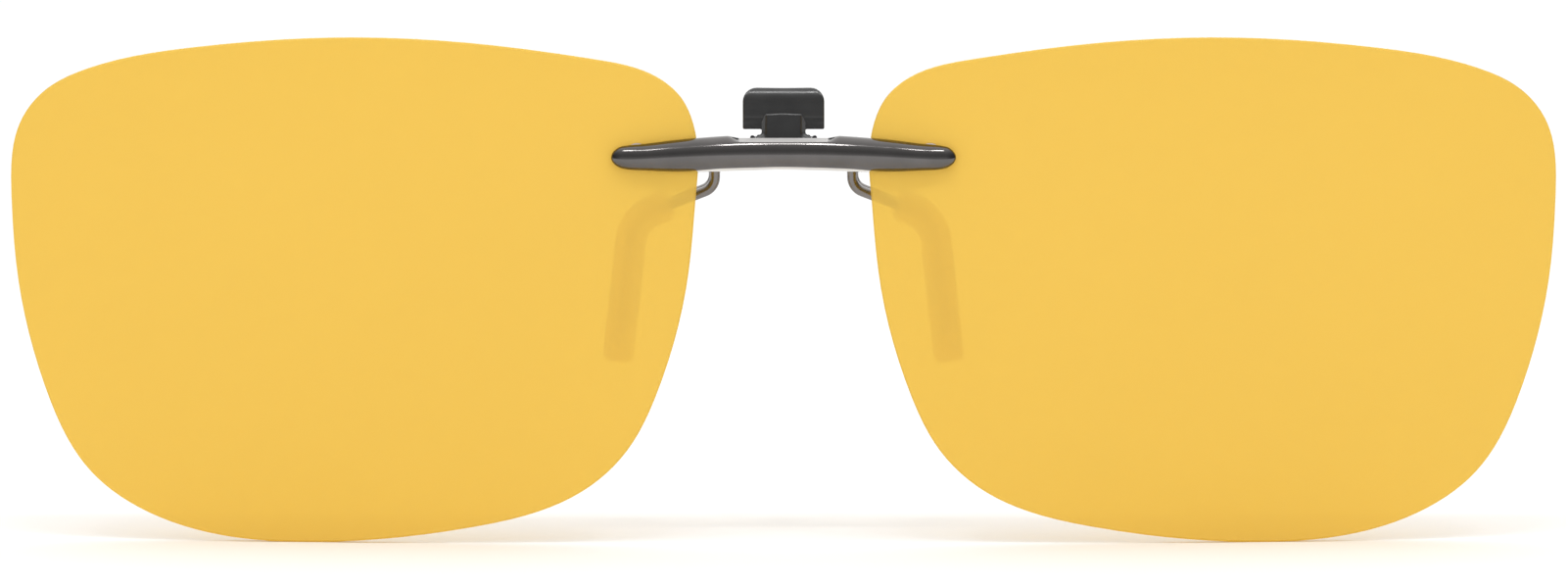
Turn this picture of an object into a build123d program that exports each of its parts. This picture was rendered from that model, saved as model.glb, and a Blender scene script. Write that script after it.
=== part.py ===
from build123d import *
import os

# Clip-on flip lenses: two tinted lenses on a bridge bar that flips up on a four-wire spring clip.
# Millimetres. X runs across the face, -Y points forward and +Y towards the wearer, Z is up.
# The origin is the clamp point, midway between the four grips that pinch the spectacle lenses.
# "left" is the -X side. Heights named h are measured from the middle of the bridge bar.

SIDES = (("left", -1), ("right", 1))

# Bridge bar
bar_height = 12.0          # clamp point up to the middle of the bar
bar_back = -6.9            # depth of the flat rear face
bar_depth = 1.7            # of its deepest section
bar_rim = 0.2              # straight edge round the flat back, before the half-round front
bar_sections = (           # x, top h, crest h, bottom h, depth of the section
    (0.0, 1.80, 0.04, -1.31, bar_depth),
    (3.2, 1.76, 0.03, -1.38, 1.68),
    (6.2, 1.60, -0.04, -1.47, 1.60),
    (9.4, 1.31, -0.18, -1.47, 1.42),
    (12.0, 0.98, -0.34, -1.37, 1.20),
    (13.6, 0.82, -0.40, -1.28, 1.00),
    (14.4, 0.62, -0.38, -1.06, 0.80),
    (14.85, 0.30, -0.33, -0.80, 0.56),
    (15.02, 0.06, -0.30, -0.54, 0.36),
)
notch_half = 3.9           # half width of the notch in the bar's top edge
notch_h = 1.46             # height of its floor at the rear face
notch_tilt = 12            # degrees that the floor falls towards the front
notch_flare = -68          # slope of the notch's two ends

# Lenses
lens_front = -6.65         # depth of the front surface where the lens is fastened
lens_radius = 265.0        # front surface, a shallow sphere
lens_thickness = 1.2
lens_middle = (37.6, -12.1)    # x and h of the boxed centre
lens_outline = (           # round the edge from the nose side, over the top, x grows outwards
    (-30.1, 10.0), (-29.6, 15.2), (-28.7, 17.0), (-26.8, 18.7), (-21.0, 20.4), (-12.0, 21.6),
    (0.9, 22.2), (13.6, 21.3), (23.6, 19.2), (27.0, 17.4), (29.1, 14.8), (30.0, 8.0),
    (29.5, 1.2), (27.0, -9.0), (23.3, -15.9), (17.0, -20.1), (3.3, -22.1), (-10.3, -20.7),
    (-20.3, -17.3), (-24.0, -13.8), (-26.6, -8.7), (-29.3, 1.6),
)
edge_bevel = 0.15
blank_front = -10.0        # the block that the lens is cut from
blank_depth = 20.0

# Lens fixings: posts on the back of the bar pass through the lens and take a screw each
fixing_middle = 11.0       # x of the middle of a lens's two fixings
fixing_pitch = 3.5
fixing_h = -0.1
post_radius = 0.75
post_end = -5.28           # depth of the posts' rear ends
washer_radius = 1.1
bush_radius = 0.95
flange = 0.25
bush_seat = -5.43          # depth where the bush's flange meets the back of the lens
screw_radius = 0.38
screw_head_radius = 0.95
screw_head = 0.5
screw_tip = -7.1
slot = (0.28, 0.2)         # width and depth of a screwdriver slot
screw_chamfer = 0.12
fit = 0.02                 # radial play of pins, screws and bushes
through = 10.0             # longer than anything that a hole is cut through

# Flip hinge
flip_y = -5.5
flip_h = -0.1
flip_radius = 0.4
leaf_thickness = 0.4
leaf_half = 6.4
leaf_height = 2.2
leaf_corner = 0.5
knuckle_radius = 0.75
knuckle_span = (2.3, 3.5)
leaf_screw_x = 5.3
leaf_screw_head = 0.8
leaf_screw_tip = -8.0
pin_head = 0.3
flip_head = (0.2, 0.2)     # how far the pin's heads stand out, and their round edge
weld = 0.1                 # how far a knuckle or an ear runs into the sheet that carries it

# Clip bracket, folded from sheet
sheet = 0.5
plate_front = -3.6
plate_half = 3.4
plate_h = (-1.2, 1.08)
flip_ear_span = (1.5, 2.1)
flip_ear_radius = 0.7
clamp_ear_span = (2.9, 3.4)
tab_top = 3.39
tab_face_half = 1.5        # flat front of the tab
tab_half = 1.95            # outside of its swept-back flanges
tab_flange_back = -2.9
tab_shoulder_h = 2.6       # where the tab's top corners start
tab_crown = (1.6, 0.08)    # half width and fall of its crowned top edge
ear_h = (-0.2, 0.3, 1.05)  # foot, nose and top of the clamp ears
ear_reach = (0.3, 0.6)     # how far their foot and nose pass the clamp pin
ear_bends = (0.1, 0.1, 0.3)
wire_barrel_radius = 0.7
lever_barrel_radius = 0.8

# Clamp pivot and thumb lever
clamp_y = -2.15
clamp_h = 0.61
clamp_radius = 0.3
clamp_head = (0.12, 0.15)  # how far the pin's heads stand out, and their round edge
lever_knuckle_span = (1.3, 1.9)
lever_knuckle_radius = 0.48
lever_face = -1.6          # front of the lever's neck
neck_half = 1.91
paddle_half = 3.57
paddle_h = (1.91, 5.54)
paddle_corner = 1.2
neck_h = (-1.0, 3.0)       # the strip that the neck is cut to
crease_h = (1.7, 2.74)     # where the sheet starts and stops stepping back
crease_step = 0.2
dish_start_h = 3.5         # the pad curves backwards from here
dish_middle = (0.42, 4.6)  # how far back it is at a height half way up
dish_back_h = 4.5          # the same place on its rear face
pad_lean = 0.85            # how far back its top edge is
gusset = 0.2               # the web behind a knuckle is this much lower than the knuckle

# Clamp wires and their soft grips
wire_radius = 0.45
wire_end = 0.2             # round edge of its tip
front_barrel = (-2.85, -0.75)    # y and h where the front wires enter the bracket
rear_barrel = (-0.8, -0.6)       # y and h where the rear wires enter the lever
wire_runs = {              # corners x, y, h of one wire, from its barrel to where the grip starts
    "front": [(0.25, *front_barrel), (6.0, *front_barrel), (6.0, -2.4, -3.14)],
    "rear": [(0.25, *rear_barrel), (4.6, *rear_barrel), (6.3, -0.3, 0.6), (6.3, 4.1, 0.6), (6.05, 4.1, -3.3)],
}
wire_bends = {"front": [1.2, 1.4], "rear": [1.0, 0.8, 1.2, 1.4]}
elbow_bend = 3.2
grip_y = 1.65              # depth of each grip's centre line, front pair at -y
grip_radius = 1.35
grip_bore = wire_radius + 1.5 * fit
grip_round = 0.6
elbow = (13.15, -5.94)     # x and h where the wire turns down
wire_tip = (14.25, -15.9)
grip_tip_h = -18.44
grip_start_x = 9.89

# Torsion spring
spring_wire = 0.2          # radius of the wire
spring_mean = 0.68
spring_pitch = 0.43
spring_inner = 2.17        # x where each coil starts, at its top
spring_reach = lever_face - spring_wire - clamp_y    # coil's top back to the bridge
spring_bend = 0.23
spring_leg = 1.25


def place(x, y, h):
    return (x, y, bar_height + h)


def facing(y):
    # Plane at depth y, seen from the front: x across, y up, and extrusions grow forwards.
    return Plane.XZ.offset(-y)


def across(x):
    # Plane at x: its x is depth, its y is height, and extrusions grow towards +X.
    return Plane.YZ.offset(x)


def span_plane(span, sign):
    # Side plane and extrusion length of a piece that fills span on one side.
    start = min(sign * span[0], sign * span[1])
    return across(start), span[1] - span[0]


def fixing_places():
    for side in (-1, 1):
        for step in (-0.5, 0.5):
            yield side * fixing_middle + step * fixing_pitch


os.makedirs("parts", exist_ok=True)

# Bridge bar
stations = [(-x, *rest) for x, *rest in bar_sections[:0:-1]]
stations += list(bar_sections)

with BuildPart() as bridge_bar:
    for x, top, crest, bottom, depth in stations:
        section_plane = Plane(origin=place(x, bar_back, crest), x_dir=(0, 0, 1), z_dir=(1, 0, 0))
        with BuildSketch(section_plane):
            with BuildLine():
                EllipticalCenterArc((0, bar_rim), top - crest, depth - bar_rim, 0, arc_size=90)
                EllipticalCenterArc((0, bar_rim), crest - bottom, depth - bar_rim, 90, arc_size=90)
                Polyline(
                    (bottom - crest, bar_rim),
                    (bottom - crest, 0),
                    (top - crest, 0),
                    (top - crest, bar_rim),
                )
            make_face()
    loft()
    # the notch that clears the clip when the lenses are up: a wedge with flared ends
    notch_plane = Plane(origin=place(0, bar_back, notch_h), x_dir=(1, 0, 0), z_dir=(0, 0, 1))
    with BuildSketch(notch_plane.rotated((notch_tilt, 0, 0))):
        Rectangle(2 * notch_half, 2 * bar_depth)
    extrude(amount=1, taper=notch_flare, mode=Mode.SUBTRACT)
    with BuildSketch(facing(bar_back)) as posts:
        with Locations(*[(x, bar_height + fixing_h) for x in fixing_places()]):
            Circle(post_radius)
    extrude(amount=bar_back - post_end)
    with BuildSketch(facing(post_end)) as post_bores:
        with Locations(*[(x, bar_height + fixing_h) for x in fixing_places()]):
            Circle(screw_radius + fit)
    extrude(amount=post_end - screw_tip + fit, mode=Mode.SUBTRACT)
    with BuildSketch(facing(bar_back)) as leaf_bores:
        with Locations((-leaf_screw_x, bar_height), (leaf_screw_x, bar_height)):
            Circle(leaf_screw_head / 2 + fit)
    extrude(amount=bar_back - leaf_screw_tip + fit, mode=Mode.SUBTRACT)
bridge_bar.part.label = "bridge_bar"
export_step(bridge_bar.part, "parts/bridge_bar.step")

# Lenses
for side, sign in SIDES:
    edge = [(sign * (lens_middle[0] + x), bar_height + lens_middle[1] + h) for x, h in lens_outline]
    apex = place(sign * fixing_middle, lens_front + lens_radius, 0)
    with BuildPart() as lens:
        with BuildSketch(facing(blank_front)):
            with BuildLine():
                Spline(*edge, periodic=True)
            make_face()
        extrude(amount=-blank_depth)
        with Locations(apex):
            Sphere(lens_radius, mode=Mode.INTERSECT)
            Sphere(lens_radius - lens_thickness, mode=Mode.SUBTRACT)
        chamfer(lens.edges(), edge_bevel)
        with BuildSketch(facing(0)):
            with Locations(*[(x, bar_height + fixing_h) for x in fixing_places()]):
                Circle(bush_radius + fit)
        extrude(amount=through, mode=Mode.SUBTRACT)
    lens.part.label = f"lens_{side}"
    export_step(lens.part, f"parts/lens_{side}.step")

# Lens fixings
for number, x in enumerate(fixing_places(), start=1):
    spot = (x, bar_height + fixing_h)

    with BuildPart() as lens_washer:
        with BuildSketch(facing(lens_front)):
            with Locations(spot):
                Circle(washer_radius)
                Circle(post_radius + fit, mode=Mode.SUBTRACT)
        extrude(amount=lens_front - bar_back)
    lens_washer.part.label = f"lens_washer_{number}"
    export_step(lens_washer.part, f"parts/lens_washer_{number}.step")

    with BuildPart() as lens_bush:
        with BuildSketch(facing(bush_seat)):
            with Locations(spot):
                Circle(bush_radius)
        extrude(amount=bush_seat - lens_front)
        with BuildSketch(facing(bush_seat)):
            with Locations(spot):
                Circle(washer_radius)
        extrude(amount=-flange)
        with BuildSketch(facing(0)):
            with Locations(spot):
                Circle(post_radius + fit)
        extrude(amount=through, mode=Mode.SUBTRACT)
    lens_bush.part.label = f"lens_bush_{number}"
    export_step(lens_bush.part, f"parts/lens_bush_{number}.step")

    head_seat = bush_seat + flange
    with BuildPart() as lens_screw:
        with BuildSketch(facing(head_seat)):
            with Locations(spot):
                Circle(screw_radius)
        extrude(amount=head_seat - screw_tip)
        with BuildSketch(facing(head_seat)):
            with Locations(spot):
                Circle(screw_head_radius)
        extrude(amount=-screw_head)
        chamfer(lens_screw.edges().group_by(Axis.Y)[-1], screw_chamfer)
        with BuildSketch(facing(head_seat + screw_head)):
            with Locations(spot):
                Rectangle(2 * screw_head_radius, slot[0])
        extrude(amount=slot[1], mode=Mode.SUBTRACT)
    lens_screw.part.label = f"lens_screw_{number}"
    export_step(lens_screw.part, f"parts/lens_screw_{number}.step")

# Flip hinge
leaf_back = bar_back + leaf_thickness
flip_spot = (flip_y, bar_height + flip_h)

with BuildPart() as hinge_leaf:
    with BuildSketch(facing(leaf_back)):
        with Locations((0, bar_height)):
            RectangleRounded(2 * leaf_half, leaf_height, leaf_corner)
    extrude(amount=leaf_thickness)
    for side, sign in SIDES:
        plane, length = span_plane(knuckle_span, sign)
        with BuildSketch(plane):
            with Locations(flip_spot):
                Circle(knuckle_radius)
            with Locations(((flip_y + leaf_back - weld) / 2, flip_spot[1])):
                Rectangle(flip_y - leaf_back + weld, 2 * knuckle_radius)
        extrude(amount=length)
    with BuildSketch(across(-leaf_half)):
        with Locations(flip_spot):
            Circle(flip_radius + fit)
    extrude(amount=2 * leaf_half, mode=Mode.SUBTRACT)
    countersink_plane = Plane(origin=(0, leaf_back, bar_height), x_dir=(1, 0, 0), z_dir=(0, 1, 0))
    with Locations(countersink_plane):
        with Locations((-leaf_screw_x, 0), (leaf_screw_x, 0)):
            CounterSinkHole(leaf_screw_head / 2 + fit, leaf_screw_head + fit, depth=leaf_thickness)
hinge_leaf.part.label = "hinge_leaf"
export_step(hinge_leaf.part, "parts/hinge_leaf.step")

for side, sign in SIDES:
    axis_plane = Plane(origin=place(sign * leaf_screw_x, leaf_back, 0), x_dir=(1, 0, 0), z_dir=(0, 0, 1))
    with BuildPart() as leaf_screw:
        with BuildSketch(axis_plane):
            with BuildLine():
                Polyline(
                    (0, 0),
                    (leaf_screw_head, 0),
                    (leaf_screw_head / 2, -leaf_thickness),
                    (leaf_screw_head / 2, leaf_screw_tip - leaf_back),
                    (0, leaf_screw_tip - leaf_back),
                    close=True,
                )
            make_face()
        revolve(axis=Axis(place(sign * leaf_screw_x, leaf_back, 0), (0, 1, 0)))
        with BuildSketch(facing(leaf_back)):
            with Locations((sign * leaf_screw_x, bar_height)):
                Rectangle(2 * leaf_screw_head, slot[0])
        extrude(amount=slot[1] / 2, mode=Mode.SUBTRACT)
    leaf_screw.part.label = f"leaf_screw_{side}"
    export_step(leaf_screw.part, f"parts/leaf_screw_{side}.step")

with BuildPart() as flip_pin:
    with BuildSketch(across(-knuckle_span[1])):
        with Locations(flip_spot):
            Circle(flip_radius)
    extrude(amount=2 * knuckle_span[1])
    for start in (-knuckle_span[1] - pin_head, knuckle_span[1]):
        with BuildSketch(across(start)):
            with Locations(flip_spot):
                Circle(flip_radius + flip_head[0])
        extrude(amount=pin_head)
    fillet(flip_pin.edges().group_by(Axis.X)[0] + flip_pin.edges().group_by(Axis.X)[-1], flip_head[1])
flip_pin.part.label = "flip_pin"
export_step(flip_pin.part, "parts/flip_pin.step")

for side, sign in SIDES:
    plane, length = span_plane((flip_ear_span[1], knuckle_span[0]), sign)
    with BuildPart() as friction_washer:
        with BuildSketch(plane):
            with Locations(flip_spot):
                Circle(flip_ear_radius - 0.05)
                Circle(flip_radius + fit, mode=Mode.SUBTRACT)
        extrude(amount=length)
    friction_washer.part.label = f"friction_washer_{side}"
    export_step(friction_washer.part, f"parts/friction_washer_{side}.step")

# Clip bracket
plate_back = plate_front + sheet
clamp_spot = (clamp_y, bar_height + clamp_h)

with BuildPart() as clip_bracket:
    # upright tab: a channel with swept-back flanges, cut to a crowned outline
    with BuildSketch(Plane.XY.offset(bar_height + plate_h[0])):
        with BuildLine():
            outer = Polyline(
                (-tab_half, tab_flange_back),
                (-tab_face_half, plate_front),
                (tab_face_half, plate_front),
                (tab_half, tab_flange_back),
            )
            Polyline(
                outer @ 1,
                (tab_half - sheet, tab_flange_back),
                (tab_face_half - 0.3, plate_back),
                (0.3 - tab_face_half, plate_back),
                (sheet - tab_half, tab_flange_back),
                outer @ 0,
            )
        make_face()
    extrude(amount=tab_top - plate_h[0])
    with BuildSketch(facing(0)):
        with BuildLine():
            Polyline(
                place(-tab_half, 0, plate_h[0])[::2],
                place(-tab_half, 0, tab_shoulder_h)[::2],
                place(-tab_crown[0], 0, tab_top - tab_crown[1])[::2],
                place(0, 0, tab_top)[::2],
                place(tab_crown[0], 0, tab_top - tab_crown[1])[::2],
                place(tab_half, 0, tab_shoulder_h)[::2],
                place(tab_half, 0, plate_h[0])[::2],
                close=True,
            )
        make_face()
    extrude(amount=through, mode=Mode.INTERSECT)
    # front plate
    with BuildSketch(facing(plate_back)):
        with Locations((0, bar_height + (plate_h[0] + plate_h[1]) / 2)):
            Rectangle(2 * plate_half, plate_h[1] - plate_h[0])
    extrude(amount=sheet)
    for side, sign in SIDES:
        # ears forward to the flip pin
        plane, length = span_plane(flip_ear_span, sign)
        with BuildSketch(plane):
            with Locations(flip_spot):
                Circle(flip_ear_radius)
            with Locations(((flip_y + plate_front + weld) / 2, flip_spot[1])):
                Rectangle(plate_front + weld - flip_y, 2 * flip_ear_radius)
        extrude(amount=length)
        # ears back to the clamp pin
        plane, length = span_plane(clamp_ear_span, sign)
        with BuildSketch(plane):
            with BuildLine():
                ear = FilletPolyline(
                    place(0, plate_back - weld, ear_h[0])[1:],
                    place(0, clamp_y + ear_reach[0], ear_h[0])[1:],
                    place(0, clamp_y + ear_reach[1], ear_h[1])[1:],
                    place(0, clamp_y + ear_reach[1], ear_h[2])[1:],
                    place(0, plate_back - weld, ear_h[2])[1:],
                    radius=ear_bends,
                )
                Line(ear @ 1, ear @ 0)
            make_face()
        extrude(amount=length)
    # barrel rolled at the foot of the plate, where the front wires are held
    with BuildSketch(across(-neck_half)):
        with Locations((front_barrel[0], bar_height + front_barrel[1])):
            Circle(wire_barrel_radius)
    extrude(amount=2 * neck_half)
    with BuildSketch(across(-leaf_half)):
        with Locations((front_barrel[0], bar_height + front_barrel[1])):
            Circle(wire_radius + fit)
        with Locations(flip_spot):
            Circle(flip_radius + fit)
        with Locations(clamp_spot):
            Circle(clamp_radius + fit)
    extrude(amount=2 * leaf_half, mode=Mode.SUBTRACT)
clip_bracket.part.label = "clip_bracket"
export_step(clip_bracket.part, "parts/clip_bracket.step")

with BuildPart() as clamp_pin:
    with BuildSketch(across(-plate_half)):
        with Locations(clamp_spot):
            Circle(clamp_radius)
    extrude(amount=2 * plate_half)
    for start in (-plate_half - pin_head, plate_half):
        with BuildSketch(across(start)):
            with Locations(clamp_spot):
                Circle(clamp_radius + clamp_head[0])
        extrude(amount=pin_head)
    fillet(clamp_pin.edges().group_by(Axis.X)[0] + clamp_pin.edges().group_by(Axis.X)[-1], clamp_head[1])
clamp_pin.part.label = "clamp_pin"
export_step(clamp_pin.part, "parts/clamp_pin.step")

# Thumb lever
with BuildPart() as thumb_lever:
    # formed sheet seen from the side: straight neck, a crease, then a pad that leans back
    with BuildSketch(across(-paddle_half)):
        with BuildLine():
            front = Polyline(
                place(0, lever_face, rear_barrel[1])[1:],
                place(0, lever_face, crease_h[0])[1:],
                place(0, lever_face + crease_step, crease_h[1])[1:],
                place(0, lever_face + crease_step, dish_start_h)[1:],
            )
            pad = Spline(
                front @ 1,
                place(0, lever_face + dish_middle[0], dish_middle[1])[1:],
                place(0, lever_face + pad_lean, paddle_h[1])[1:],
                tangents=[(0, 1), (0.5, 1)],
            )
            tip = Line(pad @ 1, place(0, lever_face + pad_lean + sheet, paddle_h[1] - 0.1)[1:])
            back = Spline(
                tip @ 1,
                place(0, lever_face + dish_middle[0] + sheet, dish_back_h)[1:],
                place(0, lever_face + crease_step + sheet, dish_start_h)[1:],
                tangents=[(-0.5, -1), (0, -1)],
            )
            Polyline(
                back @ 1,
                place(0, lever_face + crease_step + sheet, crease_h[1])[1:],
                place(0, lever_face + sheet, crease_h[0])[1:],
                place(0, lever_face + sheet, rear_barrel[1])[1:],
                front @ 0,
            )
        make_face()
    extrude(amount=2 * paddle_half)
    # face outline: narrow neck below, wide pad with rounded top corners above
    with BuildSketch(facing(plate_back)):
        with Locations((0, bar_height + (neck_h[0] + neck_h[1]) / 2)):
            Rectangle(2 * neck_half, neck_h[1] - neck_h[0])
        with BuildSketch(mode=Mode.PRIVATE) as pad_face:
            with Locations((0, bar_height + (paddle_h[0] + paddle_h[1]) / 2)):
                Rectangle(2 * paddle_half, paddle_h[1] - paddle_h[0])
            fillet(pad_face.vertices().group_by(Axis.Y)[-1], paddle_corner)
        add(pad_face.sketch)
    extrude(amount=-through, mode=Mode.INTERSECT)
    # knuckles on the clamp pin
    for side, sign in SIDES:
        plane, length = span_plane(lever_knuckle_span, sign)
        with BuildSketch(plane):
            with Locations(clamp_spot):
                Circle(lever_knuckle_radius)
            with Locations(((clamp_y + lever_face + weld) / 2, clamp_spot[1] - gusset / 2)):
                Rectangle(lever_face + weld - clamp_y, 2 * lever_knuckle_radius - gusset)
        extrude(amount=length)
    # barrel rolled at the foot, where the rear wires are held
    with BuildSketch(across(-neck_half)):
        with Locations((rear_barrel[0], bar_height + rear_barrel[1])):
            Circle(lever_barrel_radius)
    extrude(amount=2 * neck_half)
    with BuildSketch(across(-paddle_half)):
        with Locations((rear_barrel[0], bar_height + rear_barrel[1])):
            Circle(wire_radius + fit)
        with Locations(clamp_spot):
            Circle(clamp_radius + fit)
    extrude(amount=2 * paddle_half, mode=Mode.SUBTRACT)
thumb_lever.part.label = "thumb_lever"
export_step(thumb_lever.part, "parts/thumb_lever.step")

# Clamp wires
def grip_path_points(sign, y, entry):
    # Centre line of one grip, from its open mouth past the elbow to the closed tip.
    start = Vector(*place(sign * entry[0], entry[1], entry[2]))
    corner = Vector(*place(sign * elbow[0], y, elbow[1]))
    tip = Vector(*place(sign * wire_tip[0], y, wire_tip[1]))
    mouth = start + (corner - start) * ((grip_start_x - entry[0]) / (elbow[0] - entry[0]))
    end = corner + (tip - corner) * ((grip_tip_h - elbow[1]) / (wire_tip[1] - elbow[1]))
    return mouth, corner, tip, end


for pair, depth in (("front", -grip_y), ("rear", grip_y)):
    runs = wire_runs[pair]
    for side, sign in SIDES:
        corners = [Vector(*place(sign * x, y, h)) for x, y, h in runs]
        mouth, corner, tip, end = grip_path_points(sign, depth, runs[-1])

        with BuildPart() as wire:
            with BuildLine() as wire_path:
                FilletPolyline(*corners, corner, tip, radius=wire_bends[pair] + [elbow_bend])
            with BuildSketch(Plane(wire_path.line @ 0, z_dir=wire_path.line % 0)):
                Circle(wire_radius)
            sweep()
            fillet(wire.edges().filter_by(GeomType.CIRCLE).sort_by(Axis.Z)[0], wire_end)
        wire.part.label = f"{pair}_wire_{side}"
        export_step(wire.part, f"parts/{pair}_wire_{side}.step")

        with BuildPart() as grip:
            with BuildLine() as grip_path:
                FilletPolyline(mouth, corner, end, radius=elbow_bend)
            with BuildSketch(Plane(grip_path.line @ 0, z_dir=grip_path.line % 0)):
                Circle(grip_radius)
            sweep()
            ends = grip.edges().filter_by(GeomType.CIRCLE).filter_by(
                lambda e: e.is_closed and abs(e.radius - grip_radius) < fit
            )
            fillet(ends, grip_round)
        with BuildPart() as bore:
            with BuildLine() as bore_path:
                FilletPolyline(mouth, corner, tip, radius=elbow_bend)
            with BuildSketch(Plane(bore_path.line @ 0, z_dir=bore_path.line % 0)):
                Circle(grip_bore)
            sweep()
        with BuildPart() as sleeve:
            add(grip.part)
            add(bore.part, mode=Mode.SUBTRACT)
        sleeve.part.label = f"{pair}_grip_{side}"
        export_step(sleeve.part, f"parts/{pair}_grip_{side}.step")

# Torsion spring
# One closed turn each side of the lever, a leg over the plate's top edge, and a bridge on the neck
coil_start = place(spring_inner, clamp_y, clamp_h)
with BuildLine() as coil_path:
    Helix(spring_pitch, spring_pitch, spring_mean, center=coil_start, direction=(1, 0, 0))
coil = coil_path.line
bridge_corner = coil @ 0 - (coil % 0) * spring_reach

with BuildPart() as torsion_spring:
    with BuildSketch(Plane(coil @ 0, z_dir=coil % 0)):
        Circle(spring_wire)
    sweep(path=coil, is_frenet=True)
    with BuildSketch(Plane(coil @ 1, z_dir=coil % 1)):
        Circle(spring_wire)
    extrude(amount=spring_leg)
    with BuildLine() as bridge_path:
        FilletPolyline(
            coil @ 0,
            bridge_corner,
            (0, bridge_corner.Y, bridge_corner.Z),
            radius=spring_bend,
        )
    with BuildSketch(Plane(bridge_path.line @ 0, z_dir=bridge_path.line % 0)):
        Circle(spring_wire)
    sweep(path=bridge_path.line)
    mirror(about=Plane.YZ)
torsion_spring.part.label = "torsion_spring"
export_step(torsion_spring.part, "parts/torsion_spring.step")
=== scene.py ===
import bpy
import bmesh
import math
from mathutils import Matrix, Vector


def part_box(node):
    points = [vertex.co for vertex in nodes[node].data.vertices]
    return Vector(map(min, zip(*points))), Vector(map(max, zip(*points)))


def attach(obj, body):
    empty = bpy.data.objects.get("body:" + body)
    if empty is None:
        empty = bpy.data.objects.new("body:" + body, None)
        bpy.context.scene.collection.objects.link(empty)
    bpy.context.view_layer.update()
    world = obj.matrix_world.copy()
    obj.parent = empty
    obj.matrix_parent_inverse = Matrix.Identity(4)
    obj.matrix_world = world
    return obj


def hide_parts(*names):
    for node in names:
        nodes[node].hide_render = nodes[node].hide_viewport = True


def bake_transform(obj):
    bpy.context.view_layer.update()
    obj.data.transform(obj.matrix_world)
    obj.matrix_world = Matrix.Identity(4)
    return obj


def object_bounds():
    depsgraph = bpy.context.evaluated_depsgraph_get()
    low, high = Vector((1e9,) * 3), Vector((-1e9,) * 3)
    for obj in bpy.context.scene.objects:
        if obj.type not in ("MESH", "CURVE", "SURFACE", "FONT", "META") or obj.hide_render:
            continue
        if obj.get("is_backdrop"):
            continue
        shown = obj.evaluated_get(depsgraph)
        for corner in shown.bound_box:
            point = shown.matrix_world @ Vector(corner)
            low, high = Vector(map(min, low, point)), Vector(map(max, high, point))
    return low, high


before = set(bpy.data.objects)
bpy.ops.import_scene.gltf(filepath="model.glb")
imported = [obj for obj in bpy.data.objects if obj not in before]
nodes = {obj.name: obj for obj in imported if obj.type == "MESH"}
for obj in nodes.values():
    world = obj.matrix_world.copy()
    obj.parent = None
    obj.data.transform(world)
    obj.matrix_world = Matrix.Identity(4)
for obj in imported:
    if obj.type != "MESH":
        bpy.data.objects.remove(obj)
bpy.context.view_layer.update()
mm = 0.001
print("frame loaded:", len(nodes), "nodes")


def boxMiddle(name):
    low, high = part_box(name)
    return (Vector(low) + Vector(high)) / 2


barLow = Vector(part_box("bridge_bar")[0])
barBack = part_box("hinge_leaf")[0][1]    # the flat rear face of the bar
barHeight = boxMiddle("hinge_leaf").z    # the middle of the bar, which the hinge leaf is centred on
clampPin = (-2.15, 0.61)    # depth and height of the clamp pin in mm, for all three pieces on it


# short ways to make the nodes of a material

def newMaterial(name):
    material = bpy.data.materials.new(name)
    material.use_nodes = True
    tree = material.node_tree
    shader = tree.nodes["Principled BSDF"]
    return material, tree, shader


def addNode(tree, kind, **settings):
    node = tree.nodes.new(kind)
    for key, value in settings.items():
        if key in node.inputs.keys():
            node.inputs[key].default_value = value
        else:
            setattr(node, key, value)
    return node


def objectCoords(tree, scale):
    coords = addNode(tree, "ShaderNodeTexCoord")
    mapping = addNode(tree, "ShaderNodeMapping")
    mapping.inputs["Scale"].default_value = scale
    tree.links.new(coords.outputs["Object"], mapping.inputs["Vector"])
    return mapping.outputs["Vector"]


def noiseOn(tree, vector, scale, detail=3.0, roughness=0.5):
    noise = addNode(tree, "ShaderNodeTexNoise", Scale=scale, Detail=detail, Roughness=roughness)
    tree.links.new(vector, noise.inputs["Vector"])
    return noise.outputs["Fac"]


def spreadTo(tree, value, low, high, fromLow=0.3, fromHigh=0.7):
    spread = addNode(tree, "ShaderNodeMapRange")
    spread.inputs["From Min"].default_value = fromLow
    spread.inputs["From Max"].default_value = fromHigh
    spread.inputs["To Min"].default_value = low
    spread.inputs["To Max"].default_value = high
    tree.links.new(value, spread.inputs["Value"])
    return spread.outputs["Result"]


def mixColours(tree, value, dark, light):
    mix = addNode(tree, "ShaderNodeMix", data_type="RGBA")
    mix.inputs["A"].default_value = (*dark, 1)
    mix.inputs["B"].default_value = (*light, 1)
    tree.links.new(value, mix.inputs["Factor"])
    return mix.outputs["Result"]


def bumpFrom(tree, shader, value, strength, distance):
    bump = addNode(tree, "ShaderNodeBump", Strength=strength, Distance=distance)
    tree.links.new(value, bump.inputs["Height"])
    tree.links.new(bump.outputs["Normal"], shader.inputs["Normal"])
    return bump


# finishes: dark and light are the two tones of the same surface, and rough its span of roughness

brushedPlating = {"dark": (0.128, 0.122, 0.119), "light": (0.150, 0.142, 0.139), "rough": (0.09, 0.15),
                  "grainAlong": 260, "grainAcross": 14000, "cloud": 420, "bump": 0.02, "bumpDepth": 0.00001}


def makeBrushedPlating(name, values):
    material, tree, shader = newMaterial(name)
    shader.inputs["Metallic"].default_value = 1.0
    along, across = values["grainAlong"], values["grainAcross"]
    grain = noiseOn(tree, objectCoords(tree, (along, across, across)), scale=1.0, detail=4.0, roughness=0.6)
    cloud = noiseOn(tree, objectCoords(tree, (1, 1, 1)), values["cloud"], detail=2.0)
    colour = mixColours(tree, spreadTo(tree, cloud, 0, 1), values["dark"], values["light"])
    tree.links.new(colour, shader.inputs["Base Color"])
    tree.links.new(spreadTo(tree, grain, *values["rough"]), shader.inputs["Roughness"])
    bumpFrom(tree, shader, grain, values["bump"], values["bumpDepth"])
    return material


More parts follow.
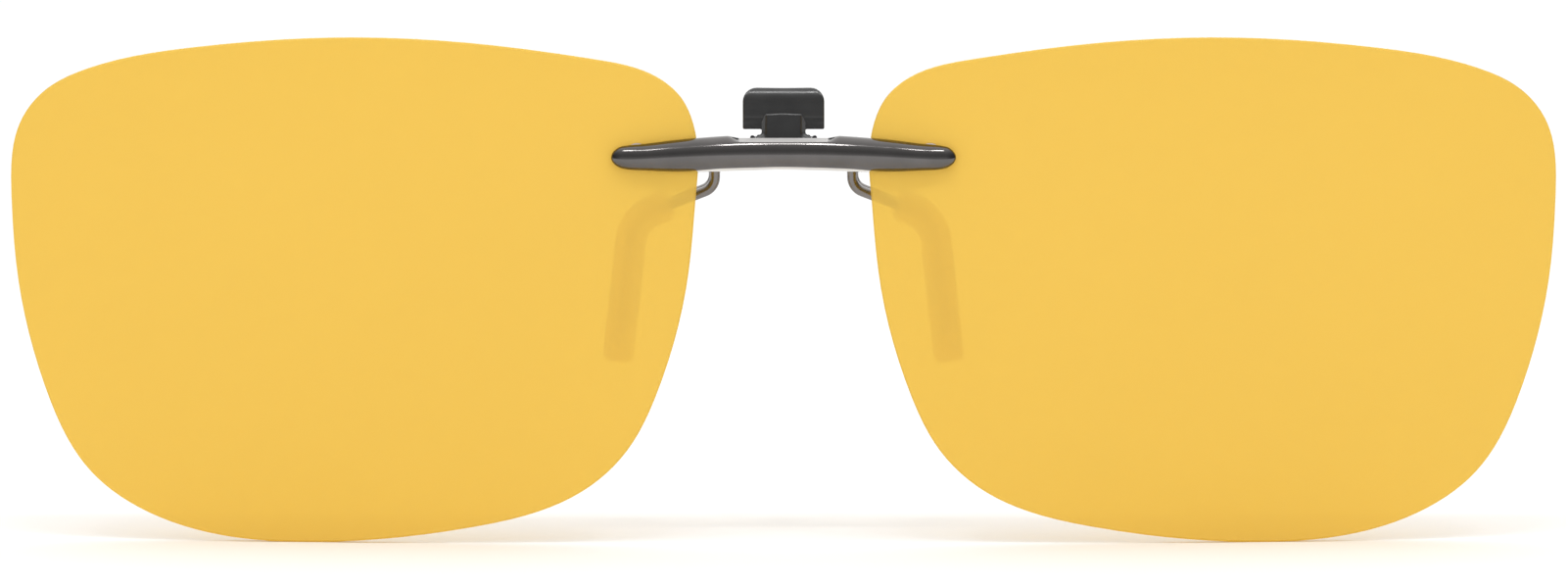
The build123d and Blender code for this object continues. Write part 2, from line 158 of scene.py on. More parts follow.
def mixInClear(tree, shader, values):
    clear = addNode(tree, "ShaderNodeBsdfTransparent", Color=(*values["clear"], 1))
    mix = addNode(tree, "ShaderNodeMixShader", Fac=values["clearShare"])
    tree.links.new(shader.outputs["BSDF"], mix.inputs[1])
    tree.links.new(clear.outputs["BSDF"], mix.inputs[2])
    tree.links.new(mix.outputs["Shader"], tree.nodes["Material Output"].inputs["Surface"])


amberTint = {"body": (0.838, 0.592, 0.121), "clear": (0.905, 0.715, 0.25), "clearShare": 0.45,
             "rough": (0.05, 0.09), "gloss": 0.15, "cloud": 60, "cloudLift": 1.012, "haze": 1400,
             "bump": 0.02, "bumpDepth": 0.000005}


def makeAmberLens(name, values):
    # a milky amber body with a share of clear tint, once for each surface of the lens
    material, tree, shader = newMaterial(name)
    vector = objectCoords(tree, (1, 1, 1))
    cloud = noiseOn(tree, vector, values["cloud"], detail=3.0)
    haze = noiseOn(tree, vector, values["haze"], detail=4.0)
    tone = spreadTo(tree, cloud, 0, 1)
    body = values["body"]
    lifted = [c * values["cloudLift"] for c in body]
    tree.links.new(mixColours(tree, tone, body, lifted), shader.inputs["Base Color"])
    tree.links.new(spreadTo(tree, haze, *values["rough"]), shader.inputs["Roughness"])
    shader.inputs["Specular IOR Level"].default_value = values["gloss"]
    bumpFrom(tree, shader, haze, values["bump"], values["bumpDepth"])
    mixInClear(tree, shader, values)
    return material


blackSatin = {"dark": (0.0095, 0.0095, 0.0098), "light": (0.014, 0.014, 0.0142), "rough": (0.16, 0.24),
              "peel": 5200, "cloud": 700, "bump": 0.07, "bumpDepth": 0.00002, "coat": 0.8, "coatRough": 0.3}


def makeSatinCoat(name, values):
    material, tree, shader = newMaterial(name)
    vector = objectCoords(tree, (1, 1, 1))
    peel = noiseOn(tree, vector, values["peel"], detail=2.0)
    cloud = noiseOn(tree, vector, values["cloud"], detail=4.0)
    colour = mixColours(tree, spreadTo(tree, cloud, 0, 1), values["dark"], values["light"])
    tree.links.new(colour, shader.inputs["Base Color"])
    tree.links.new(spreadTo(tree, cloud, *values["rough"]), shader.inputs["Roughness"])
    shader.inputs["Coat Weight"].default_value = values["coat"]
    shader.inputs["Coat Roughness"].default_value = values["coatRough"]
    bumpFrom(tree, shader, peel, values["bump"], values["bumpDepth"])
    return material


clearSilicone = {"body": (0.86, 0.83, 0.78), "clear": (0.97, 0.96, 0.94), "clearShare": 0.5,
                 "rough": (0.30, 0.42), "skin": 2600, "cloud": 300, "cloudFall": 0.95, "bump": 0.15,
                 "bumpDepth": 0.00002,
                 "softWeight": 0.35, "softReach": (0.002, 0.0018, 0.0015), "softScale": 0.5}


def makeClearSilicone(name, values):
    material, tree, shader = newMaterial(name)
    shader.inputs["Subsurface Weight"].default_value = values["softWeight"]
    shader.inputs["Subsurface Radius"].default_value = values["softReach"]
    shader.inputs["Subsurface Scale"].default_value = values["softScale"]
    vector = objectCoords(tree, (1, 1, 1))
    skin = noiseOn(tree, vector, values["skin"], detail=4.0)
    cloud = noiseOn(tree, vector, values["cloud"], detail=2.0)
    body = values["body"]
    shaded = [c * values["cloudFall"] for c in body]
    colour = mixColours(tree, spreadTo(tree, cloud, 0, 1), shaded, body)
    tree.links.new(colour, shader.inputs["Base Color"])
    tree.links.new(spreadTo(tree, skin, *values["rough"]), shader.inputs["Roughness"])
    bumpFrom(tree, shader, skin, values["bump"], values["bumpDepth"])
    mixInClear(tree, shader, values)
    return material


def toned(values, dark, light, **changes):
    return {**values, "dark": dark, "light": light, **changes}


plating = makeBrushedPlating("gunmetalPlating", brushedPlating)
# a lighter copy of the plating for the bar's lower edge: a painted highlight standing for the floor's
# reflection there
brightTones = toned(brushedPlating, (0.66, 0.65, 0.64), (0.78, 0.77, 0.75))
highlightPlating = makeBrushedPlating("paintedHighlightEdge", brightTones)
wireTones = toned(brushedPlating, (0.185, 0.175, 0.17), (0.225, 0.213, 0.207), rough=(0.2, 0.28))
wirePlating = makeBrushedPlating("wirePlating", wireTones)
# a lighter, rougher copy of the plating for the notch floor: a painted highlight where the tab would
# otherwise be reflected dark
notchTones = toned(brushedPlating, (0.44, 0.43, 0.42), (0.54, 0.53, 0.52), rough=(0.5, 0.6))
notchHighlightPlating = makeBrushedPlating("paintedNotchHighlight", notchTones)
pinSteel = makeBrushedPlating("turnedPinSteel", toned(brushedPlating, (0.36, 0.36, 0.37), (0.5, 0.5, 0.5)))
screwSteel = makeBrushedPlating("screwSteel", toned(brushedPlating, (0.4, 0.39, 0.38), (0.56, 0.55, 0.53)))
springTones = toned(brushedPlating, (0.05, 0.05, 0.055), (0.1, 0.1, 0.105))
springSteel = makeBrushedPlating("blackenedSpring", springTones)
amber = makeAmberLens("amberLens", amberTint)
satin = makeSatinCoat("blackSatinCoat", blackSatin)
silicone = makeClearSilicone("clearSilicone", clearSilicone)
nylon = makeSatinCoat("naturalNylon", toned(blackSatin, (0.62, 0.61, 0.57), (0.74, 0.73, 0.69)))
acetal = makeSatinCoat("acetalDisc", toned(blackSatin, (0.5, 0.46, 0.38), (0.6, 0.56, 0.48)))
print("finishes made")


def paint(node, material):
    mesh = nodes[node].data
    mesh.materials.clear()
    mesh.materials.append(material)


for side in ("left", "right"):
    paint("lens_" + side, amber)
    paint("leaf_screw_" + side, screwSteel)
    paint("friction_washer_" + side, acetal)
    for pair in ("front", "rear"):
        paint(f"{pair}_wire_{side}", wirePlating)
        paint(f"{pair}_grip_{side}", silicone)
for number in range(1, 5):
    paint(f"lens_washer_{number}", silicone)
    paint(f"lens_bush_{number}", nylon)
    paint(f"lens_screw_{number}", screwSteel)
paint("hinge_leaf", satin)
paint("flip_pin", pinSteel)
paint("clamp_pin", pinSteel)
print("finishes put on the CAD nodes")


# short ways to make curves and meshes, with lengths in mm

def easeBetween(value, low, high):
    share = min(max((value - low) / (high - low), 0.0), 1.0)
    return share * share * (3 - 2 * share)


def smoothThrough(knots, values, place):
    # a curve through the knots, level at the first one, with every other slope taken from its neighbours
    index = 0
    while index < len(knots) - 2 and knots[index + 1] < place:
        index += 1
    slopes = []
    for k in (index, index + 1):
        after, before = min(k + 1, len(knots) - 1), max(k - 1, 0)
        slopes.append(0.0 if k == 0 else (values[after] - values[before]) / (knots[after] - knots[before]))
    width = knots[index + 1] - knots[index]
    u = (place - knots[index]) / width
    return (values[index] * (2 * u ** 3 - 3 * u ** 2 + 1) + values[index + 1] * (3 * u ** 2 - 2 * u ** 3)
            + slopes[0] * width * (u ** 3 - 2 * u ** 2 + u) + slopes[1] * width * (u ** 3 - u ** 2))


def roundCorners(corners, steps=7):
    # corners are (a, b, radius) going round the outline, and a radius of 0 stays sharp
    outline = []
    for k, (a, b, radius) in enumerate(corners):
        here = Vector((a, b))
        toBefore = (Vector(corners[k - 1][:2]) - here).normalized()
        toAfter = (Vector(corners[(k + 1) % len(corners)][:2]) - here).normalized()
        if radius == 0:
            outline.append(here)
            continue
        halfAngle = toBefore.angle(toAfter) / 2
        centre = here + (toBefore + toAfter).normalized() * (radius / math.sin(halfAngle))
        start = here + toBefore * (radius / math.tan(halfAngle)) - centre
        finish = here + toAfter * (radius / math.tan(halfAngle)) - centre
        turn = start.angle_signed(finish)
        for step in range(steps + 1):
            spin = -turn * step / steps
            outline.append(centre + Vector((start.x * math.cos(spin) - start.y * math.sin(spin),
                                            start.x * math.sin(spin) + start.y * math.cos(spin))))
    return outline


def addSheet(mesh, outline, thickness, edgeRound, cuts, shape):
    # a blank cut to the outline, its edges rolled over, gridded by cuts and then formed by shape
    blank = bmesh.new()
    face = blank.faces.new([blank.verts.new((a, b, 0)) for a, b in outline])
    grown = bmesh.ops.extrude_face_region(blank, geom=[face])["geom"]
    bmesh.ops.translate(blank, verts=[v for v in grown if isinstance(v, bmesh.types.BMVert)],
                        vec=(0, 0, thickness))
    bmesh.ops.recalc_face_normals(blank, faces=blank.faces)
    rims = [e for e in blank.edges if abs(e.verts[0].co.z - e.verts[1].co.z) < thickness / 2]
    bmesh.ops.bevel(blank, geom=rims, offset=edgeRound, segments=4, profile=0.5, affect="EDGES",
                    clamp_overlap=True)
    for axis, places in enumerate(cuts):
        normal = (1, 0, 0) if axis == 0 else (0, 1, 0)
        for place in places:
            geometry = list(blank.verts) + list(blank.edges) + list(blank.faces)
            bmesh.ops.bisect_plane(blank, geom=geometry, plane_co=[place * n for n in normal],
                                   plane_no=normal, dist=0.004)
    copies = {v: mesh.verts.new([c * mm for c in shape(*v.co)]) for v in blank.verts}
    for face in blank.faces:
        mesh.faces.new([copies[v] for v in face.verts])
    blank.free()


def addRing(mesh, centre, span, outer, inner, edgeRound, segments=48):
    # a rolled barrel round the X direction: centre is its depth and height, span its two ends
    profile = roundCorners([(span[0], inner, 0), (span[0], outer, edgeRound), (span[1], outer, edgeRound),
                            (span[1], inner, 0)], 4)
    rings = []
    for k in range(segments):
        turn = 2 * math.pi * k / segments
        rings.append([mesh.verts.new((a * mm, (centre[0] + r * math.cos(turn)) * mm,
                                      (centre[1] + r * math.sin(turn)) * mm)) for a, r in profile])
    for k, ring in enumerate(rings):
        following = rings[(k + 1) % segments]
        for j in range(len(profile)):
            after = (j + 1) % len(profile)
            mesh.faces.new((ring[j], ring[after], following[after], following[j]))


def addWire(mesh, path, radius, endRound, sides=20):
    # a round wire along the path, which is a list of points in mm, with its two ends eased
    first = path[0] + (path[1] - path[0]).normalized() * endRound
    last = path[-1] + (path[-2] - path[-1]).normalized() * endRound
    path = [path[0], first, *path[1:-1], last, path[-1]]
    across = Vector((0, 0, 1))
    rings = []
    for k, point in enumerate(path):
        along = (path[min(k + 1, len(path) - 1)] - path[max(k - 1, 0)]).normalized()
        across = (across - along * across.dot(along)).normalized()
        beside = along.cross(across)
        reach = radius - endRound if k in (0, len(path) - 1) else radius
        turns = [2 * math.pi * j / sides for j in range(sides)]
        rings.append([mesh.verts.new((point + (across * math.cos(t) + beside * math.sin(t)) * reach) * mm)
                      for t in turns])
    for ring, following in zip(rings, rings[1:]):
        for j in range(sides):
            after = (j + 1) % sides
            mesh.faces.new((ring[j], ring[after], following[after], following[j]))
    mesh.faces.new(rings[0])
    mesh.faces.new(rings[-1])


def spread(low, high, step):
    count = max(2, round((high - low) / step))
    return [low + (high - low) * k / count for k in range(1, count)]


def makePiece(name, mesh, body, replaced, materials, crease=35.0):
    # an edge sharper than crease, in degrees, stays sharp, and a piece with no body is blended later
    bmesh.ops.recalc_face_normals(mesh, faces=mesh.faces)
    data = bpy.data.meshes.new(name)
    mesh.to_mesh(data)
    mesh.free()
    for polygon in data.polygons:
        polygon.use_smooth = True
    data.set_sharp_from_angle(angle=math.radians(crease))
    for material in materials:
        data.materials.append(material)
    piece = bpy.data.objects.new(name, data)
    bpy.context.scene.collection.objects.link(piece)
    if body:
        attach(piece, body)
    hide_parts(replaced)
    return piece


# the bridge bar, in mm, with heights from its middle

bridgeBar = {
    # x, top, crest, bottom and depth of each section
    "sections": [(0.0, 1.80, 0.04, -1.31, 1.70), (3.2, 1.76, 0.03, -1.38, 1.68),
                 (6.2, 1.60, -0.04, -1.47, 1.60),
                 (9.4, 1.31, -0.18, -1.47, 1.42), (12.0, 0.98, -0.34, -1.37, 1.20),
                 (13.6, 0.82, -0.40, -1.28, 1.00), (14.4, 0.62, -0.38, -1.06, 0.80),
                 (15.02, -0.24, -0.24, -0.24, 0.20)],
    "spans": 170, "arcSteps": 24, "rim": 0.2,
    "notchHalf": 3.9, "notchRamp": 1.0, "notchHeight": 1.46, "notchTilt": 12.0, "notchSteps": 13,
    # the painted highlight along the lower edge, where the plating is made lighter
    "brightHeight": 0.31, "brightHalf": 10.0, "brightLeast": 0.01, "brightSteps": 8,
    # the four posts behind it, which hold the lenses
    "postRadius": 0.75, "postMiddle": 11.0, "postPitch": 3.5, "postHeight": -0.1, "postEnd": 1.62,
    "postRoot": 0.4,
    "crease": 50.0,
}


def evenly(low, high, count):
    return [low + (high - low) * k / count for k in range(count)]


def barSection(values, x):
    # the D of the bar at x: from the top back corner over the rounded front to the bottom back corner
    half = values["sections"][-1][0]
    knots = [math.asin(section[0] / half) for section in values["sections"]]
    place = math.asin(min(abs(x) / half, 1.0))
    top, crest, bottom, depth = [smoothThrough(knots, [section[k] for section in values["sections"]], place)
                                 for k in range(1, 5)]
    rim = min(values["rim"], depth / 2)
    steps, brightSteps, notchSteps = values["arcSteps"], values["brightSteps"], values["notchSteps"]
    # one row of points runs along the front edge of the notch, and one along the top of the bright line
    slope = math.tan(math.radians(values["notchTilt"]))
    share = 1 - easeBetween(abs(x), values["notchHalf"], values["notchHalf"] + values["notchRamp"])
    cutTurn = math.pi / 2 * notchSteps / steps
    if share > 0:
        rise, run = top - crest, slope * (depth - rim)
        level = (values["notchHeight"] - crest - slope * rim) / math.hypot(rise, run)
        cutTurn += share * (math.atan2(run, rise) + math.acos(level) - cutTurn)
    fade = 1 - easeBetween(abs(x), values["brightHalf"] / 2, values["brightHalf"])
    brightHeight = max(values["brightHeight"] * fade, values["brightLeast"])
    brightTurn = math.acos(min(brightHeight / max(crest - bottom, 0.01), 0.9) - 1)
    turns = evenly(0, cutTurn, notchSteps) + evenly(cutTurn, math.pi / 2, steps - notchSteps)
    turns += evenly(math.pi / 2, brightTurn, steps - brightSteps) + evenly(brightTurn, math.pi, brightSteps)
    turns.append(math.pi)
    points = [(0.0, top)]
    for step, turn in enumerate(turns):
        reach = top - crest if step <= steps else crest - bottom
        points.append((rim + (depth - rim) * math.sin(turn), crest + reach * math.cos(turn)))
    points.append((0.0, bottom))
    return [(d, h + share * min(values["notchHeight"] - slope * d - h, 0.0)) for d, h in points]


def makeBridgeBar(values):
    mesh = bmesh.new()
    half = values["sections"][-1][0]
    rings = []
    for span in range(values["spans"] + 1):
        x = -half * math.cos(math.pi * span / values["spans"])
        rings.append([mesh.verts.new((x * mm, barBack - d * mm, barHeight + h * mm))
                      for d, h in barSection(values, x)])
    for ring, following in zip(rings, rings[1:]):
        for k in range(len(ring)):
            after = (k + 1) % len(ring)
            face = mesh.faces.new((ring[k], ring[after], following[after], following[k]))
            middle = face.calc_center_median()
            inBright = abs(middle.x) < values["brightHalf"] * mm and after != 0
            # faces along the lower edge take the lighter plating, a painted highlight
            if k > 2 * values["arcSteps"] - values["brightSteps"] and inBright:
                face.material_index = 1
            # the notch floor takes the lighter plating, a painted highlight
            if k <= values["notchSteps"] and abs(middle.x) < values["notchHalf"] * mm:
                face.material_index = 2
    bmesh.ops.remove_doubles(mesh, verts=mesh.verts, dist=0.001 * mm)
    radius, end, root = values["postRadius"] * mm, values["postEnd"], values["postRoot"]
    for side in (-1, 1):
        for step in (-0.5, 0.5):
            x = side * values["postMiddle"] + step * values["postPitch"]
            middle = (x * mm, barBack + (end - root) / 2 * mm, barHeight + values["postHeight"] * mm)
            place = Matrix.Translation(middle) @ Matrix.Rotation(math.pi / 2, 4, "X")
            bmesh.ops.create_cone(mesh, cap_ends=True, segments=40, radius1=radius, radius2=radius,
                                  depth=(end + root) * mm, matrix=place)
    makePiece("bridgeBar", mesh, "lens_frame", "bridge_bar", [plating, highlightPlating, notchHighlightPlating],
              values["crease"])


# the black sheet pieces of the clip, in mm, with heights from the middle of the bar

clipSheet = {"thickness": 0.5, "edgeRound": 0.13}

thumbLever = {
    "neckHalf": 1.91, "foot": -0.6, "padHalf": 3.57, "padFoot": 1.91, "padTop": 5.54,
    "corner": 1.2, "footCorner": 0.15, "cornerFall": 0.02, "crownFall": 0.06, "crownRadius": 6.0,
    # height and depth of the front face
    "lean": [(-0.6, -1.6), (1.7, -1.6), (2.3, -1.55), (2.74, -1.46), (3.5, -1.36), (4.5, -1.2), (5.1, -0.98),
             (5.54, -0.66)],
    "dish": 0.10, "dishRise": 0.8, "creaseHeight": 2.86, "creaseDepth": 0.02, "creaseWidth": 0.09,
    # a knuckle each side on the clamp pin, its web set into the neck
    "knuckle": (1.3, 1.9), "knuckleRadius": 0.48, "knuckleRound": 0.06, "webDepth": 0.15, "webFall": 0.1,
    "knuckleFall": 0.04, "knuckleCorner": 0.9,
    "barrel": (-0.8, -0.6), "barrelRadius": 0.8, "barrelBore": 0.46, "barrelRound": 0.12,
    "gridAcross": 0.3, "gridUp": 0.1,
}


def makeThumbLever(values):
    mesh = bmesh.new()
    heights = [h for h, y in values["lean"]]
    depths = [y for h, y in values["lean"]]

    def shape(x, h, depth):
        onPad = easeBetween(h, values["padFoot"], values["padFoot"] + values["dishRise"])
        dish = values["dish"] * onPad * (x / values["padHalf"]) ** 2
        fromCrease = (h - values["creaseHeight"]) / values["creaseWidth"]
        crease = values["creaseDepth"] * math.exp(-fromCrease ** 2)
        y = smoothThrough(heights, depths, h) + dish + crease
        return x, y + depth, barHeight / mm + h

    neck, pad, foot, top = values["neckHalf"], values["padHalf"], values["padFoot"], values["padTop"]
    small, corner, cornerTop = values["footCorner"], values["corner"], top - values["cornerFall"]
    outline = roundCorners([(-neck, values["foot"], 0), (neck, values["foot"], 0), (neck, foot, small),
                            (pad, foot, small), (pad, cornerTop, corner),
                            (0, top - values["crownFall"], values["crownRadius"]),
                            (-pad, cornerTop, corner), (-pad, foot, small), (-neck, foot, small)])
    addSheet(mesh, outline, clipSheet["thickness"], clipSheet["edgeRound"],
             (spread(-pad, pad, values["gridAcross"]), spread(values["foot"], top, values["gridUp"])), shape)
    pinY, pinH = clampPin
    web = depths[0] + values["webDepth"]
    radius, corner = values["knuckleRadius"], values["knuckleRadius"] * values["knuckleCorner"]
    for side in (-1, 1):
        low, high = sorted(side * x for x in values["knuckle"])
        ear = roundCorners([(web, pinH - radius + values["webFall"], 0),
                            (web, pinH + radius - values["webFall"], 0),
                            (pinY - radius, pinH + radius - values["knuckleFall"], corner),
                            (pinY - radius, pinH - radius, corner)])
        addSheet(mesh, ear, high - low, values["knuckleRound"], ((), ()),
                 lambda y, h, x: (low + x, y, barHeight / mm + h))
    barrelY, barrelH = values["barrel"]
    addRing(mesh, (barrelY, barHeight / mm + barrelH), (-neck, neck), values["barrelRadius"],
            values["barrelBore"], values["barrelRound"])
    makePiece("thumbLever", mesh, "rear_jaw", "thumb_lever", [satin])


clipBracket = {
    "front": -3.6, "plateHalf": 3.4, "plateLow": -1.2, "plateTop": 1.08, "lowCorner": 0.3, "topCorner": 0.35,
    # the tab, its crowned top and the flanges folded back from it
    "tabTop": 3.39, "tabLean": 8.0,
    "crownFall": 0.08, "crownRadius": 4.0, "crownEnd": 0.2, "crownCorner": 0.25,
    "fold": 1.5, "foldAngle": 57.3, "foldLength": 0.28, "foldStart": 0.1, "foldFull": 0.6,
    "flangeEnd": 2.33, "flangeFoot": 0.12, "shoulder": 2.6, "shoulderCorner": 0.15,
    # the ears, all rooted this deep in the plate
    "earRoot": 0.2,
    "flipPin": (-5.5, -0.1), "flipEar": (1.5, 2.1), "flipEarRadius": 0.7, "flipEarCorner": 0.98,
    "flipEarRound": 0.08,
    # height of the clamp ear's foot, its chin and its top, and how far behind the pin each reaches
    "clampEar": (2.9, 3.4), "clampEarFoot": -0.2, "clampEarChin": 0.3, "clampEarTop": 1.05,
    "clampEarFootReach": 0.3, "clampEarReach": 0.6,
    "clampEarFootCorner": 0.2, "clampEarTopCorner": 0.3, "clampEarRound": 0.1,
    "barrel": (-2.85, -0.75), "barrelRadius": 0.7, "barrelHalf": 1.91, "barrelBore": 0.46,
    "barrelRound": 0.12,
    "gridAcross": 0.1, "gridUp": 0.15,
}


def makeClipBracket(values):
    # one blank: a flat plate whose tab stands up and folds its two flanges back
    mesh = bmesh.new()
    fold, foldLength, top = values["fold"], values["foldLength"], values["plateTop"]

    def shape(a, h, depth):
        folded = easeBetween(h, top + values["foldStart"], top + values["foldFull"])
        most = math.radians(values["foldAngle"]) * folded
        front = values["front"] + math.tan(math.radians(values["tabLean"])) * max(h - top, 0.0)
        side = -1 if a < 0 else 1
        past = abs(a) - fold + foldLength / 2
        if past <= 0 or most < 0.001:
            return a, front + depth, barHeight / mm + h
        turn = most * min(past / foldLength, 1.0)
        radius = foldLength / most
        x = fold - foldLength / 2 + radius * math.sin(turn)
        y = front + radius * (1 - math.cos(turn))
        rest = max(past - foldLength, 0.0)
        x += rest * math.cos(turn) - depth * math.sin(turn)
        y += rest * math.sin(turn) + depth * math.cos(turn)
        return side * x, y, barHeight / mm + h

    plate, low, end, crown = values["plateHalf"], values["plateLow"], values["flangeEnd"], values["tabTop"]
    right = [(plate, low, values["lowCorner"]), (plate, top, values["topCorner"]),
             (end, top, values["flangeFoot"]), (end, values["shoulder"], values["shoulderCorner"]),
             (fold + values["crownEnd"], crown - values["crownFall"], values["crownCorner"])]
    left = [(-a, b, r) for a, b, r in reversed(right)]
    outline = roundCorners(right + [(0, crown, values["crownRadius"])] + left)
    addSheet(mesh, outline, clipSheet["thickness"], clipSheet["edgeRound"],
             (spread(-plate, plate, values["gridAcross"]), spread(low, crown, values["gridUp"])), shape)

    inner = values["front"] + values["earRoot"]
    flipY, flipH = values["flipPin"]
    radius, corner = values["flipEarRadius"], values["flipEarRadius"] * values["flipEarCorner"]
    flipEar = roundCorners([(inner, flipH + radius, 0), (flipY - radius, flipH + radius, corner),
                            (flipY - radius, flipH - radius, corner), (inner, flipH - radius, 0)])
    foot, earTop, footCorner = values["clampEarFoot"], values["clampEarTop"], values["clampEarFootCorner"]
    footEnd, earEnd = clampPin[0] + values["clampEarFootReach"], clampPin[0] + values["clampEarReach"]
    clampEar = roundCorners([(inner, foot, 0), (footEnd, foot, footCorner),
                             (earEnd, values["clampEarChin"], footCorner),
                             (earEnd, earTop, values["clampEarTopCorner"]), (inner, earTop, 0)])
    for side in (-1, 1):
        for ear, name in ((flipEar, "flipEar"), (clampEar, "clampEar")):
            low, high = sorted(side * x for x in values[name])
            addSheet(mesh, ear, high - low, values[name + "Round"], ((), ()),
                     lambda y, h, x: (low + x, y, barHeight / mm + h))
    barrelY, barrelH = values["barrel"]
    addRing(mesh, (barrelY, barHeight / mm + barrelH), (-values["barrelHalf"], values["barrelHalf"]),
            values["barrelRadius"], values["barrelBore"], values["barrelRound"])
    makePiece("clipBracket", mesh, "clip", "clip_bracket", [satin])


torsionSpring = {
    "wire": 0.2, "endRound": 0.05, "coil": 0.68, "pitch": 0.43, "inner": 2.17, "reach": 0.35, "bend": 0.23,
    "leg": 1.25, "coilSteps": 64, "straightStep": 0.12, "crease": 60.0,
    "holdEnd": -2.4, "pressStart": -2.0,    # depths where it leaves the clip and is all on the lever
}


def makeTorsionSpring(values):
    # one wire: a leg on the plate's top edge, a turn round the pin, a bridge on the lever's neck and back
    pinY, pinH = clampPin
    bridgeY = pinY + values["reach"]
    axis = barHeight / mm + pinH
    coil, pitch, inner, coilSteps = values["coil"], values["pitch"], values["inner"], values["coilSteps"]
    top = axis + coil
    bendStart = inner - 2 * values["bend"]
    corner = roundCorners([(bendStart, bridgeY, 0), (inner, bridgeY, values["bend"]), (inner, pinY, 0)])
    right = [Vector((x, bridgeY, top)) for x in spread(0, bendStart, values["straightStep"])]
    right += [Vector((x, y, top)) for x, y in corner]
    for step in range(1, coilSteps + 1):
        turn = 2 * math.pi * step / coilSteps
        right.append(Vector((inner + pitch * step / coilSteps, pinY - coil * math.sin(turn),
                             axis + coil * math.cos(turn))))
    onward = Vector((pitch / (2 * math.pi), -coil, 0)).normalized()
    coilEnd = right[-1]
    right += [coilEnd + onward * along for along in spread(0, values["leg"], values["straightStep"])]
    right.append(coilEnd + onward * values["leg"])
    left = [Vector((-point.x, point.y, point.z)) for point in reversed(right)]
    mesh = bmesh.new()
    addWire(mesh, left + [Vector((0, bridgeY, top))] + right, values["wire"], values["endRound"])
    spring = makePiece("torsionSpring", mesh, None, "torsion_spring", [springSteel],
                       values["crease"])
    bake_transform(spring)


makeBridgeBar(bridgeBar)
makeThumbLever(thumbLever)
makeClipBracket(clipBracket)
makeTorsionSpring(torsionSpring)
print("bridge bar, thumb lever, clip bracket and spring made")


# floor, light and camera, in metres

studio = {
    "floorSize": 8.0, "floorTone": 0.872, "floorRough": 0.9, "domeTone": 1.15,
    # how bright the surroundings look in gloss: degrees up from the front horizon, tone
    "surroundings": [(0, 0.75), (7, 0.45), (18, 0.31), (30, 0.36), (50, 0.58), (72, 0.95), (100, 1.35),
                     (135, 1.6), (180, 1.8)],
    "sideTone": 0.15, "sideSpan": (0.5, 0.95),    # the tone to the sides, and how far sideways it comes in
}


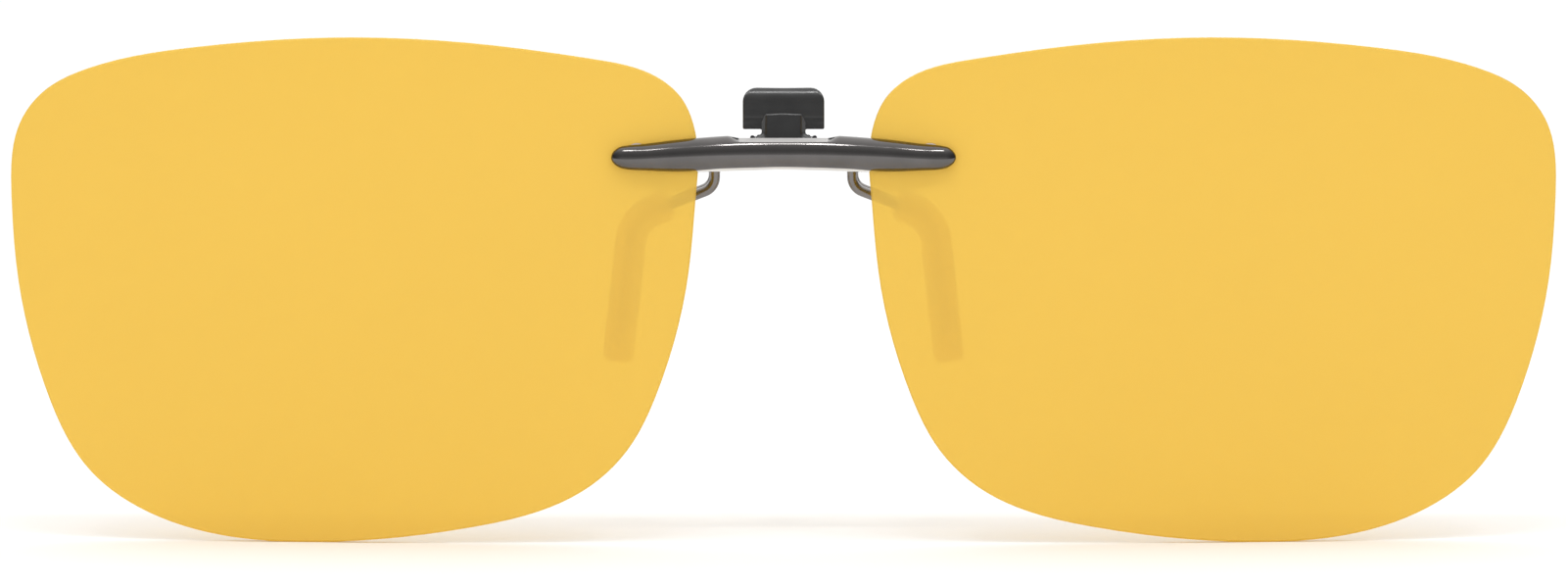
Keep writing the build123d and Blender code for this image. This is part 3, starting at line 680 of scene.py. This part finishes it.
def makeFloor(values):
    half = values["floorSize"] / 2
    mesh = bpy.data.meshes.new("paleFloor")
    corners = [(-half, -half, 0), (half, -half, 0), (half, half, 0), (-half, half, 0)]
    mesh.from_pydata(corners, [], [(0, 1, 2, 3)])
    floor = bpy.data.objects.new("paleFloor", mesh)
    floor.location = (0, 0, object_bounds()[0][2])
    bpy.context.scene.collection.objects.link(floor)
    material, tree, shader = newMaterial("paleFloor")
    tone = values["floorTone"]
    shader.inputs["Base Color"].default_value = (tone, tone, tone, 1)
    shader.inputs["Roughness"].default_value = values["floorRough"]
    shader.inputs["Specular IOR Level"].default_value = 0.0
    mesh.materials.append(material)
    floor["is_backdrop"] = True


def makeDome(values):
    # even white light for the floor, and a dark front and bright back for what gloss reflects
    world = bpy.data.worlds.new("studioDome")
    bpy.context.scene.world = world
    world.use_nodes = True
    tree = world.node_tree
    tree.nodes.clear()
    output = addNode(tree, "ShaderNodeOutputWorld")
    even = addNode(tree, "ShaderNodeBackground")
    even.inputs["Color"].default_value = (1, 1, 1, 1)
    even.inputs["Strength"].default_value = values["domeTone"]
    shaped = addNode(tree, "ShaderNodeBackground")
    coords = addNode(tree, "ShaderNodeTexCoord")
    parts = addNode(tree, "ShaderNodeSeparateXYZ")
    tree.links.new(coords.outputs["Generated"], parts.inputs["Vector"])
    angle = addNode(tree, "ShaderNodeMath", operation="ARCTAN2")
    flip = addNode(tree, "ShaderNodeMath", operation="MULTIPLY")
    flip.inputs[1].default_value = -1.0
    tree.links.new(parts.outputs["Y"], flip.inputs[0])
    tree.links.new(parts.outputs["Z"], angle.inputs[0])
    tree.links.new(flip.outputs[0], angle.inputs[1])
    turn = addNode(tree, "ShaderNodeMath", operation="DIVIDE")
    turn.inputs[1].default_value = math.pi
    tree.links.new(angle.outputs[0], turn.inputs[0])
    ramp = addNode(tree, "ShaderNodeValToRGB")
    stops = values["surroundings"]
    while len(ramp.color_ramp.elements) < len(stops):
        ramp.color_ramp.elements.new(0.5)
    for element, (angleUp, tone) in zip(ramp.color_ramp.elements, stops):
        element.position = angleUp / 180
        element.color = (tone, tone, tone, 1)
    tree.links.new(turn.outputs[0], ramp.inputs["Fac"])
    sideways = addNode(tree, "ShaderNodeMath", operation="ABSOLUTE")
    tree.links.new(parts.outputs["X"], sideways.inputs[0])
    sideShare = spreadTo(tree, sideways.outputs[0], 0, 1, *values["sideSpan"])
    darker = addNode(tree, "ShaderNodeMix", data_type="RGBA")
    darker.inputs["B"].default_value = (values["sideTone"], values["sideTone"], values["sideTone"], 1)
    tree.links.new(ramp.outputs["Color"], darker.inputs["A"])
    tree.links.new(sideShare, darker.inputs["Factor"])
    tree.links.new(darker.outputs["Result"], shaped.inputs["Color"])
    path = addNode(tree, "ShaderNodeLightPath")
    mix = addNode(tree, "ShaderNodeMixShader")
    tree.links.new(path.outputs["Is Glossy Ray"], mix.inputs["Fac"])
    tree.links.new(even.outputs[0], mix.inputs[1])
    tree.links.new(shaped.outputs[0], mix.inputs[2])
    tree.links.new(mix.outputs[0], output.inputs["Surface"])


def addSoftbox(name, place, aim, size, power):
    light = bpy.data.lights.new(name, "AREA")
    light.shape = "RECTANGLE"
    light.size, light.size_y = size
    light.energy = power
    box = bpy.data.objects.new(name, light)
    box.location = place
    box.rotation_euler = (Vector(aim) - Vector(place)).to_track_quat("-Z", "Y").to_euler()
    bpy.context.scene.collection.objects.link(box)


# two small boxes a side, for the short highlights on the bar: x is mirrored for the left side
softboxes = {
    "aim": (0, 0, 0.01),
    "nearBox": {"place": (0.050, -0.49, 0.76), "size": (0.06, 0.06), "power": 0.35},
    "farBox": {"place": (0.262, -0.46, 0.73), "size": (0.13, 0.06), "power": 0.5},
}


def makeSoftboxes(values):
    for side in (-1, 1):
        for name in ("nearBox", "farBox"):
            x, y, z = values[name]["place"]
            addSoftbox(name, (side * x, y, z), values["aim"], values[name]["size"], values[name]["power"])


# target is in mm: across, behind the front of the bar, and up from the middle of the bar
cameraSetup = {"distance": 1.2, "elevation": 4.0, "across": 0.13645, "sensor": 36.0, "farthest": 50,
               "target": (0.04, 0.3, -12.05)}


def makeCamera(values):
    # a long lens a little above the object, framed on the middle of the whole clip
    camera = bpy.data.cameras.new("frontCamera")
    camera.sensor_width = values["sensor"]
    camera.lens = values["sensor"] * values["distance"] / values["across"]
    camera.clip_end = values["farthest"]
    holder = bpy.data.objects.new("frontCamera", camera)
    tilt = math.radians(values["elevation"])
    target = Vector((0, barLow.y, barHeight)) + Vector(values["target"]) * mm
    holder.location = target + values["distance"] * Vector((0, -math.cos(tilt), math.sin(tilt)))
    holder.rotation_euler = (target - holder.location).to_track_quat("-Z", "Y").to_euler()
    bpy.context.scene.collection.objects.link(holder)
    bpy.context.scene.camera = holder


makeFloor(studio)
makeDome(studio)
makeSoftboxes(softboxes)
makeCamera(cameraSetup)
scene = bpy.context.scene
scene.view_settings.view_transform = "Standard"
scene.view_settings.look = "None"
print("floor, light and camera set")
